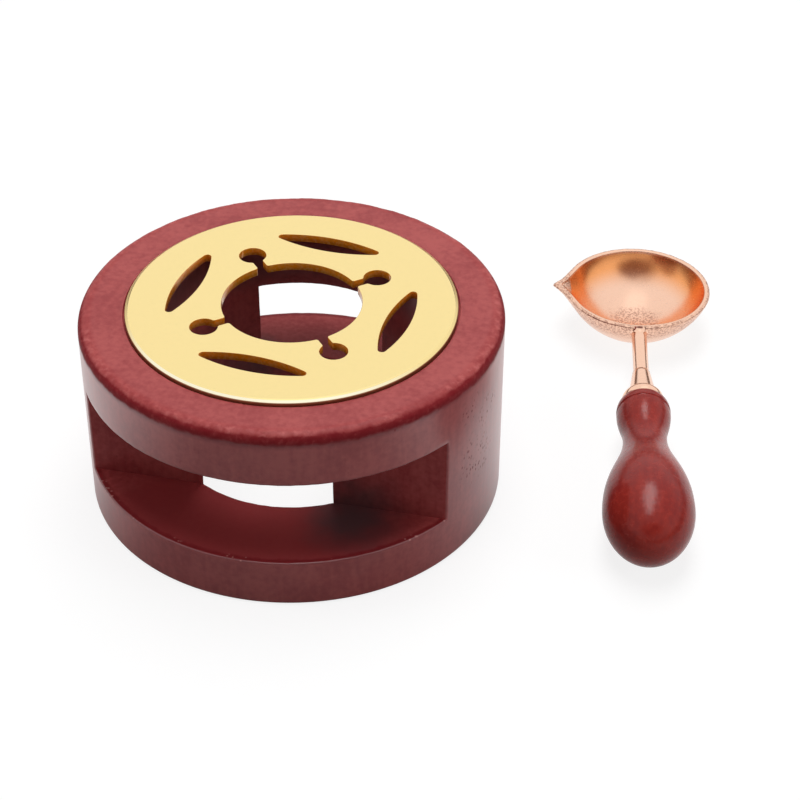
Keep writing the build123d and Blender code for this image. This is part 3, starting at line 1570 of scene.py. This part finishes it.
    def hammering(self, place: Vector) -> float:
        """Beats the sheet: shallow dents all over the inside, and a rough band outside under the rim.

        Args:
            place: a place on the surface.

        Returns:
            How far the surface stands out there, or in where it is negative.
        """
        from_centre = (place - Vector((0, 0, self.ball_height))).length
        if from_centre < self.ball - 0.4 * self.wall:
            return self.dents * (1.4 * uneven(place, 6 * MM) + 0.4 * uneven(place, 2.5 * MM))
        if place.z < 0.5 * MM:
            return 0.0
        band = min(1.0, max(0.0, (place.z - 5 * MM) / (3 * MM)))
        return self.dents * band * (uneven(place, 0.9 * MM) + 0.6 * uneven(place, 0.45 * MM) - 0.3)

    def build(self, to_frame: Matrix) -> bpy.types.Object:
        """Sews and finishes the bowl.

        Args:
            to_frame: what brings the spoon's frame into the model's.

        Returns:
            The finished piece.
        """
        work = Workpiece("pouring_bowl")
        sections = []
        for k in range(self.columns):
            u = 2 * k / self.columns - 1
            turn = HALF_TURN * (0.4 * u + 0.6 * u * abs(u))
            sections.append(self.meridian(Vector((math.sin(turn), -math.cos(turn), 0))))
        rings = [list(row) for row in zip(*sections)]
        bottom, inside = Vector((0, 0, 0)), Vector((0, 0, self.ball_height - self.ball + self.wall))
        work.sew([[bottom], *rings, [inside]])
        work.weld()
        work.roughen(work.mesh.verts, self.hammering)
        rough = RoughPlaces(
            bottom=tuple(to_frame @ inside),
            bottom_reach=(3.5 * MM, 7 * MM),
            ball=tuple(to_frame @ Vector((0, 0, self.ball_height))),
            outside=self.ball - 0.5 * self.wall,
            band=(5.5 * MM, 8 * MM),
            grain=0.4 * MM,
            depth=0.05 * MM,
            colour=(0.45, 0.23, 0.17),
        )
        finish = Plating(
            name="rose_gold_bowl",
            colour=ROSE_GOLD,
            gloss=Gloss.BRUSHED,
            rough=rough,
            # Painted reflection: the steep inner sides are tinted orange, where the gold mirrors itself.
            sides=(0.95, 0.4, 0.15),
            sides_from=(4 * MM, 8 * MM, 10.4 * MM),
        )
        return work.complete("spoon_bowl", Body.SPOON, finish, to_frame=to_frame)


@dataclass
class SpoonGrip:
    """The rod, the ferrule and the turned handle, on one axis that runs along X in the spoon's frame.

    Attributes:
        bowl: the bowl that the rod is brazed to.
        height: how high the axis is.
        rod: the rod's radius.
        bare: how much of the rod shows between the bowl and the ferrule.
        tang: how far the rod goes into the handle.
        glue: the gap for glue round the rod.
        braze: how far the braze flares round the rod.
        braze_reach: how far it runs along the rod.
        braze_rows: how many rows of the mesh it has.
        sunk: how far the braze sinks into the bowl.
        cone: the length of the ferrule's cone.
        tip_wall: how thick the cone is at its tip.
        cone_base: the cone's radius at the bead.
        flare: the round between the cone and the bead.
        flare_sink: how deep that round cuts into the cone.
        bead: the bead's length.
        bead_crest: how far along the bead its crest is.
        bead_radius: the bead's radius at its crest.
        bead_rise: how far the crest stands over the bead's ends.
        bead_waist: how much of the bead's length the round before it takes.
        bead_face: the bead's radius at the handle.
        bead_break: how far the bead's last edge is broken.
        length: the handle's length.
        face: the handle's radius at the ferrule.
        head_at: how far along the handle its head is widest.
        head: the radius there.
        neck_at: how far along the handle its waist is.
        neck: the radius there.
        bulb_at: how far along the handle its bulb is widest.
        bulb: the radius there.
        groove: the radius of the groove behind the head.
        heading: how far the spoon is turned about Z.
        steps: how many columns of the mesh go round the axis.
    """

    bowl: SpoonBowl
    height: float = 8.7 * MM
    rod: float = 1.6 * MM
    bare: float = 13.6 * MM
    tang: float = 22 * MM
    glue: float = 0.05 * MM
    braze: float = 0.7 * MM
    braze_reach: float = 1.4 * MM
    braze_rows: int = 12
    sunk: float = 0.4 * MM
    cone: float = 7.4 * MM
    tip_wall: float = 0.2 * MM
    cone_base: float = 2.85 * MM
    flare: float = 0.8 * MM
    flare_sink: float = 0.12 * MM
    bead: float = 3.6 * MM
    bead_crest: float = 1.9 * MM
    bead_radius: float = 4.25 * MM
    bead_rise: float = 1.15 * MM
    bead_waist: float = 0.55 * MM
    bead_face: float = 3.9 * MM
    bead_break: float = 0.45 * MM
    length: float = 44.8 * MM
    face: float = 4.3 * MM
    head_at: float = 2.5 * MM
    head: float = 5.4 * MM
    neck_at: float = 11 * MM
    neck: float = 4.3 * MM
    bulb_at: float = 33 * MM
    bulb: float = 8.7 * MM
    groove: float = 0.3 * MM
    heading: float = math.radians(-81)
    steps: int = 96

    def __post_init__(self) -> None:
        """Works out where the ferrule and the handle start."""
        self.ferrule_start = self.bowl.rim + self.bare
        self.handle_start = self.ferrule_start + self.cone + self.bead
        self.hole = self.rod + self.glue

    def turned(self, work: Workpiece, outline: Outline, start: float, closed: bool = False) -> None:
        """Turns an outline about the axis.

        Args:
            work: the mesh that it goes into.
            outline: points along the axis and away from it. A point on the axis is a pole.
            start: where on the axis the outline's zero is.
            closed: whether the outline's last point joins its first.
        """
        rings = []
        for point in outline.points:
            count = 1 if point.y < SAME_POINT else self.steps
            circle = around(point.y, start + point.x, [FULL_TURN * k / count for k in range(count)])
            rings.append([Vector((p.z, p.x, p.y + self.height)) for p in circle])
        work.sew([*rings, rings[0]] if closed else rings)
        work.weld()

    def braze_ring(self, share: float) -> Ring:
        """One ring of the rippled braze, which flares out to the ball that the bowl was formed to.

        Args:
            share: how far along the braze the ring is, from 0 on the bowl to 1 on the bare rod.

        Returns:
            The ring's points.
        """
        ring = []
        for k in range(self.steps):
            angle = FULL_TURN * k / self.steps
            ripple = 1 + 0.25 * uneven(Vector((math.cos(angle), math.sin(angle), 0)), 0.4)
            radius = self.rod + self.braze * ripple * (1 - share) ** 2.2
            y, z = radius * math.cos(angle), self.height + radius * math.sin(angle)
            on_bowl = math.sqrt(self.bowl.ball**2 - y**2 - (self.bowl.ball_height - z) ** 2)
            ring.append(Vector((on_bowl - self.sunk + self.braze_reach * share, y, z)))
        return ring

    def build_rod(self, to_frame: Matrix) -> bpy.types.Object:
        """Sews the rod, which grows out of its braze on the bowl and ends inside the handle.

        Args:
            to_frame: what brings the spoon's frame into the model's.

        Returns:
            The finished piece.
        """
        work = Workpiece("brazed_rod")
        rings = [self.braze_ring(i / self.braze_rows) for i in range(self.braze_rows + 1)]
        buried = Vector((rings[0][0].x - self.sunk, 0, self.height))
        end = self.handle_start + self.tang
        for x in (self.bowl.rim + 3 * MM, self.ferrule_start, self.handle_start, end):
            rings.append([Vector((x, point.y, point.z)) for point in rings[-1]])
        work.sew([[buried], *rings, [Vector((end, 0, self.height))]])
        work.weld()
        finish = bright_rose_gold("rose_gold_rod")
        return work.complete("spoon_stem", Body.SPOON, finish, to_frame=to_frame)

    def build_ferrule(self, to_frame: Matrix) -> bpy.types.Object:
        """Sews the ferrule: a cone that flares into a bead.

        Args:
            to_frame: what brings the spoon's frame into the model's.

        Returns:
            The finished piece.
        """
        work = Workpiece("cone_ferrule")
        length, tip, soft = self.cone + self.bead, self.hole + self.tip_wall, self.tip_wall / 2
        outline = Outline(0, self.hole).line(0, tip - soft).line(soft, tip)
        foot, base = self.cone - self.flare, self.cone_base - self.flare_sink
        outline.line(foot, base, 0.6 * MM)
        outline.arc((foot, base + self.flare), self.flare, -90, -20, 6)
        crest = (self.cone + self.bead_crest, self.bead_radius - self.bead_rise)
        outline.arc(crest, (self.bead_crest - self.bead_waist, self.bead_rise), 165, 90)
        outline.arc(crest, (self.bead - self.bead_crest, self.bead_rise), 90, 40)
        outline.line(length, self.bead_face - self.bead_break).line(length, self.hole)
        self.turned(work, outline, self.ferrule_start, closed=True)
        finish = bright_rose_gold("rose_gold_ferrule")
        return work.complete("spoon_ferrule", Body.SPOON, finish, to_frame=to_frame)

    def build_handle(self, to_frame: Matrix) -> bpy.types.Object:
        """Sews the handle: a round head with a groove, a waist and a bulb.

        Args:
            to_frame: what brings the spoon's frame into the model's.

        Returns:
            The finished piece.
        """
        work = Workpiece("lacquered_handle")
        depth = self.tang + self.glue
        outline = Outline(depth, 0).line(depth, self.hole).line(0, self.hole, 4 * MM)
        outline.line(0, self.face)
        outline.arc((self.head_at, self.face), (self.head_at, self.head - self.face), 180, 96, 12)
        middle = self.head_at + self.groove
        outline.arc((middle, self.head + 0.3 * self.groove), self.groove, 200, 340)
        outline.line(middle + 1.7 * self.groove, self.head - 0.02 * MM)
        outline.ease(self.neck_at, self.neck, 0.4, 0.34, 20)
        outline.ease(self.bulb_at, self.bulb, 0.36, 0.48, 40)
        outline.arc((self.bulb_at, 0), (self.length - self.bulb_at, self.bulb), 90, 0, 30)
        outline.points[-1].y = 0.0
        self.turned(work, outline, self.handle_start)
        finish = StainedWood(
            name="red_lacquered_handle",
            thin=(0.36, 0.03, 0.02),
            thick=(0.25, 0.015, 0.012),
            pore=(0.08, 0.006, 0.006),
            gloss=Gloss.LACQUER,
            mark=(9 * MM, 0.9 * MM, 0.9 * MM),
            heading=self.heading,
            relief=0.05 * MM,
            shine=0.25,
        )
        return work.complete("spoon_handle", Body.SPOON, finish, to_frame=to_frame)


@dataclass
class Spoon:
    """The melting spoon, where it lies on the surface beside the stove.

    Attributes:
        x: where the middle of its bowl is along X.
        y: where it is along Y.
        bowl: the bowl.
    """

    x: float = 59 * MM
    y: float = 63.5 * MM
    bowl: SpoonBowl = field(default_factory=SpoonBowl)

    def build(self) -> list[bpy.types.Object]:
        """Builds the bowl, the rod, the ferrule and the handle.

        Returns:
            The pieces, in that order.
        """
        grip = SpoonGrip(self.bowl)
        to_frame = Matrix.Translation((self.x, self.y, 0)) @ Matrix.Rotation(grip.heading, 4, "Z")
        makers = (self.bowl.build, grip.build_rod, grip.build_ferrule, grip.build_handle)
        return [make(to_frame) for make in makers]


# ---- Studio -------------------------------------------------------------------------------------------


class Ray(Enum):
    """What a ray of light is for."""

    EYE = "Is Camera Ray"
    GLASS = "Is Transmission Ray"
    MIRROR = "Is Glossy Ray"


def rays(graph: Graph, kind: Ray) -> Signal:
    """1 for rays of the given kind, and 0 for the others."""
    return graph.node("ShaderNodeLightPath", output=kind.value)


def aim(thing: bpy.types.Object, place: Sequence[float], way: Vector, roll: float = 0.0) -> None:
    """Hangs a lamp or the camera in its place, and turns it.

    Args:
        thing: the lamp or the camera.
        place: where it hangs.
        way: the direction that it looks in.
        roll: how far it is turned about that direction.
    """
    thing.location = place
    thing.rotation_mode = "QUATERNION"
    thing.rotation_quaternion = way.to_track_quat("-Z", "Y") @ Quaternion((0, 0, 1), roll)


@dataclass(frozen=True)
class PaleFloor:
    """A floor that looks white and still takes the object's shadow.

    Attributes:
        bounce: how much light it throws back at the object.
        glow: how much of its white no shadow takes away.
        shaded: how much of its white can fall in shadow.
        mirror_shade: the middle of a patch of painted shade on it in front of the object, which only
            mirrors show.
        mirror_shade_reach: how far the patch is fully dark, and where it ends.
        mirror_shade_depth: how dark it is.
    """

    bounce: float = 0.46
    glow: float = 0.84
    shaded: float = 0.2
    mirror_shade: Place = (14 * MM, -78 * MM, 0.0)
    mirror_shade_reach: Span = (45 * MM, 110 * MM)
    mirror_shade_depth: float = 0.96

    def material(self) -> bpy.types.Material:
        """Builds the floor: a white glow where it is seen or mirrored, over plain matt grey, with painted
        shade in front of the object that only mirrors show.

        Returns:
            The material.
        """
        material, graph = new_material("pale_floor")
        mirrored = rays(graph, Ray.MIRROR)
        seen = rays(graph, Ray.EYE).either(rays(graph, Ray.GLASS)).either(mirrored)
        tone = seen * (self.shaded - self.bounce) + self.bounce
        colour = graph.node("ShaderNodeCombineXYZ", {}, {0: tone, 1: tone, 2: tone})
        matt = graph.node("ShaderNodeBsdfDiffuse", {}, {"Color": colour})
        # Painted shade on the floor in front of the object, which only mirrors show.
        in_mirror_shade = graph.distance(self.mirror_shade).fall(*self.mirror_shade_reach)
        strength = seen * self.glow * (1.0 - mirrored * in_mirror_shade * self.mirror_shade_depth)
        glow = graph.node("ShaderNodeEmission", {}, {"Strength": strength})
        both = graph.node("ShaderNodeAddShader", {}, {0: matt, 1: glow})
        graph.node("ShaderNodeOutputMaterial", {}, {"Surface": both})
        return material


@dataclass(frozen=True)
class Softbox:
    """A lamp with an oval diffuser.

    Attributes:
        name: the lamp's name.
        place: where it hangs.
        width: how wide the diffuser is.
        length: how long it is.
        watts: how strong the lamp is.
        mirrored: whether polished faces show it.
    """

    name: str
    place: Place
    width: float
    length: float
    watts: float
    mirrored: bool = True

    def build(self, target: Vector, lit: bpy.types.Collection) -> None:
        """Hangs the lamp.

        Args:
            target: the place that it is aimed at.
            lit: the pieces that its light is kept to.
        """
        light = bpy.data.lights.new(self.name, "AREA")
        light.shape = "ELLIPSE"
        light.size, light.size_y = self.width, self.length
        light.energy = self.watts
        lamp = put_in_scene(self.name, light)
        lamp.visible_glossy = self.mirrored
        lamp.light_linking.receiver_collection = lit
        aim(lamp, self.place, target - Vector(self.place))


@dataclass
class Studio:
    """The pale floor, the white room, its lamps and the camera.

    Attributes:
        target: the place that the camera and the lamps are aimed at.
        distance: how far the camera is from it.
        azimuth: how far the camera is turned round the object.
        elevation: how far it looks down.
        roll: how far it leans.
        lens: its focal length, in millimetres.
        floor_radius: the radius of the floor.
        room_light: how much the room lights the object.
        glare: how much more brightly the room mirrors overhead.
        glare_middle: the middle of that glare, along X and along Y.
        glare_reach: how far it reaches along each.
        gap_width: half the width of the dark gap in front of the object, as a sine.
        gap_height: half its height, as a sine.
        gap_colour: its colour.
        skirting: the band over the horizon that mirrors dark, as sines of the angle.
        skirting_colour: the colour that it mirrors.
        lamps: the lamps.
    """

    target: Vector = field(default_factory=lambda: Vector((20.42, 1.756, 19.0)) * MM)
    distance: float = 391.8 * MM
    azimuth: float = math.radians(12.4)
    elevation: float = math.radians(36.92)
    roll: float = math.radians(0.3)
    lens: float = 91.78
    floor_radius: float = 3.0
    room_light: float = 0.15
    glare: float = 0.2
    glare_middle: Span = (0.03, 0.15)
    glare_reach: Span = (0.3, 0.55)
    gap_width: float = 0.62
    gap_height: float = 0.36
    gap_colour: Colour = (0.22, 0.14, 0.15)
    skirting: Span = (0.0, 0.15)
    skirting_colour: Colour = (0.16, 0.12, 0.11)
    lamps: tuple[Softbox, ...] = (
        Softbox("overhead_oval", (0.02, 0.12, 0.7), 0.32, 0.75, 3.6),
        Softbox("left_fill", (-0.6, -0.1, 0.3), 0.3, 0.3, 0.8, mirrored=False),
        Softbox("right_fill", (0.65, -0.1, 0.3), 0.3, 0.3, 0.8, mirrored=False),
    )

    def back(self) -> Vector:
        """The direction from the object to the camera."""
        level, up = math.cos(self.elevation), math.sin(self.elevation)
        return Vector((math.sin(self.azimuth) * level, -math.cos(self.azimuth) * level, up))

    @staticmethod
    def gather(name: str, pieces: Iterable[bpy.types.Object]) -> bpy.types.Collection:
        """Puts pieces into a collection of their own as well.

        Args:
            name: the collection's name.
            pieces: the pieces.

        Returns:
            The collection.
        """
        gathered = bpy.data.collections.new(name)
        for piece in pieces:
            gathered.objects.link(piece)
        return gathered

    def build_floor(self) -> bpy.types.Object:
        """Lays the floor just under the object's foot.

        Returns:
            The floor.
        """
        mesh = bmesh.new()
        rim = around(self.floor_radius, -0.02 * MM, [FULL_TURN * k / 64 for k in range(64)])
        mesh.faces.new([mesh.verts.new(point) for point in rim])
        data = bpy.data.meshes.new("pale_floor")
        mesh.to_mesh(data)
        mesh.free()
        data.materials.append(PaleFloor().material())
        floor = put_in_scene("pale_floor", data)
        return floor

    def build_room(self) -> None:
        """Lights the room. It mirrors as white, brighter overhead, with a dark gap and a dark skirting."""
        world = bpy.data.worlds.new("white_room")
        world.use_nodes = True
        bpy.context.scene.world = world
        graph = Graph(world.node_tree)
        away = graph.node("ShaderNodeTexCoord", output="Generated")
        level = Vector((math.cos(self.azimuth), math.sin(self.azimuth), 0))
        facing, across, up = (
            graph.node("ShaderNodeVectorMath", {"operation": "DOT_PRODUCT"}, {0: away, 1: axis}, "Value")
            for axis in (self.back(), level, self.back().cross(level))
        )
        across, up = across * (1 / self.gap_width), up * (1 / self.gap_height)
        gap = (across * across + up * up).fall(0.4, 1.0) * facing.step(0, 0.1)
        *flat, rise = graph.axes(away)
        offsets = (
            (part - middle) * (1 / reach)
            for part, middle, reach in zip(flat, self.glare_middle, self.glare_reach)
        )
        glare = sum(offset * offset for offset in offsets).fall(0.4, 1.2) * rise.step(0.2, 0.5)
        low, high = self.skirting
        skirting = rise.step(low - 0.04, low) * rise.fall(high, high + 0.08)
        eye, mirrored = rays(graph, Ray.EYE), rays(graph, Ray.MIRROR)
        colour = graph.blend((1.0, 1.0, 1.0), self.gap_colour, gap * mirrored)
        colour = graph.blend(colour, self.skirting_colour, skirting * mirrored)
        bright = mirrored * (glare * self.glare + 1.0) + (1.0 - mirrored) * self.room_light
        strength = eye + (1.0 - eye) * bright
        white = graph.node("ShaderNodeBackground", {}, {"Color": colour, "Strength": strength})
        graph.node("ShaderNodeOutputWorld", {}, {"Surface": white})

    def build_camera(self) -> None:
        """Sets up the camera."""
        data = bpy.data.cameras.new("viewpoint")
        data.lens = self.lens
        data.sensor_width = 36
        data.clip_start, data.clip_end = 0.01, 20
        camera = put_in_scene("viewpoint", data)
        aim(camera, self.target + self.back() * self.distance, -self.back(), self.roll)
        bpy.context.scene.camera = camera

    def build(self, wood: Iterable[bpy.types.Object], metal: Iterable[bpy.types.Object]) -> None:
        """Builds the whole studio.

        Args:
            wood: the pieces that show the lamps in their polish.
            metal: the bright pieces, which the lamps light too, but which mirror only the room.
        """
        under_lamps = self.gather("under_the_lamps", [*wood, self.build_floor()])
        in_room = self.gather("in_the_room", metal)
        self.build_room()
        self.build_camera()
        for lamp in self.lamps:
            lamp.build(self.target, under_lamps)
            unseen = replace(lamp, name=f"{lamp.name}_on_metal", mirrored=False)
            unseen.build(self.target, in_room)
        bpy.context.scene.view_settings.view_transform = "Standard"


def main() -> None:
    """Builds the stove, the plate and the spoon, and then the studio round them."""
    logging.basicConfig(level=logging.INFO, format="%(name)s: %(message)s")
    block = StoveBody().build()
    plate = BurnerPlate().build()
    *spoon_metal, handle = Spoon().build()
    Studio().build([block, handle], [plate, *spoon_metal])


if __name__ == "__main__":
    main()
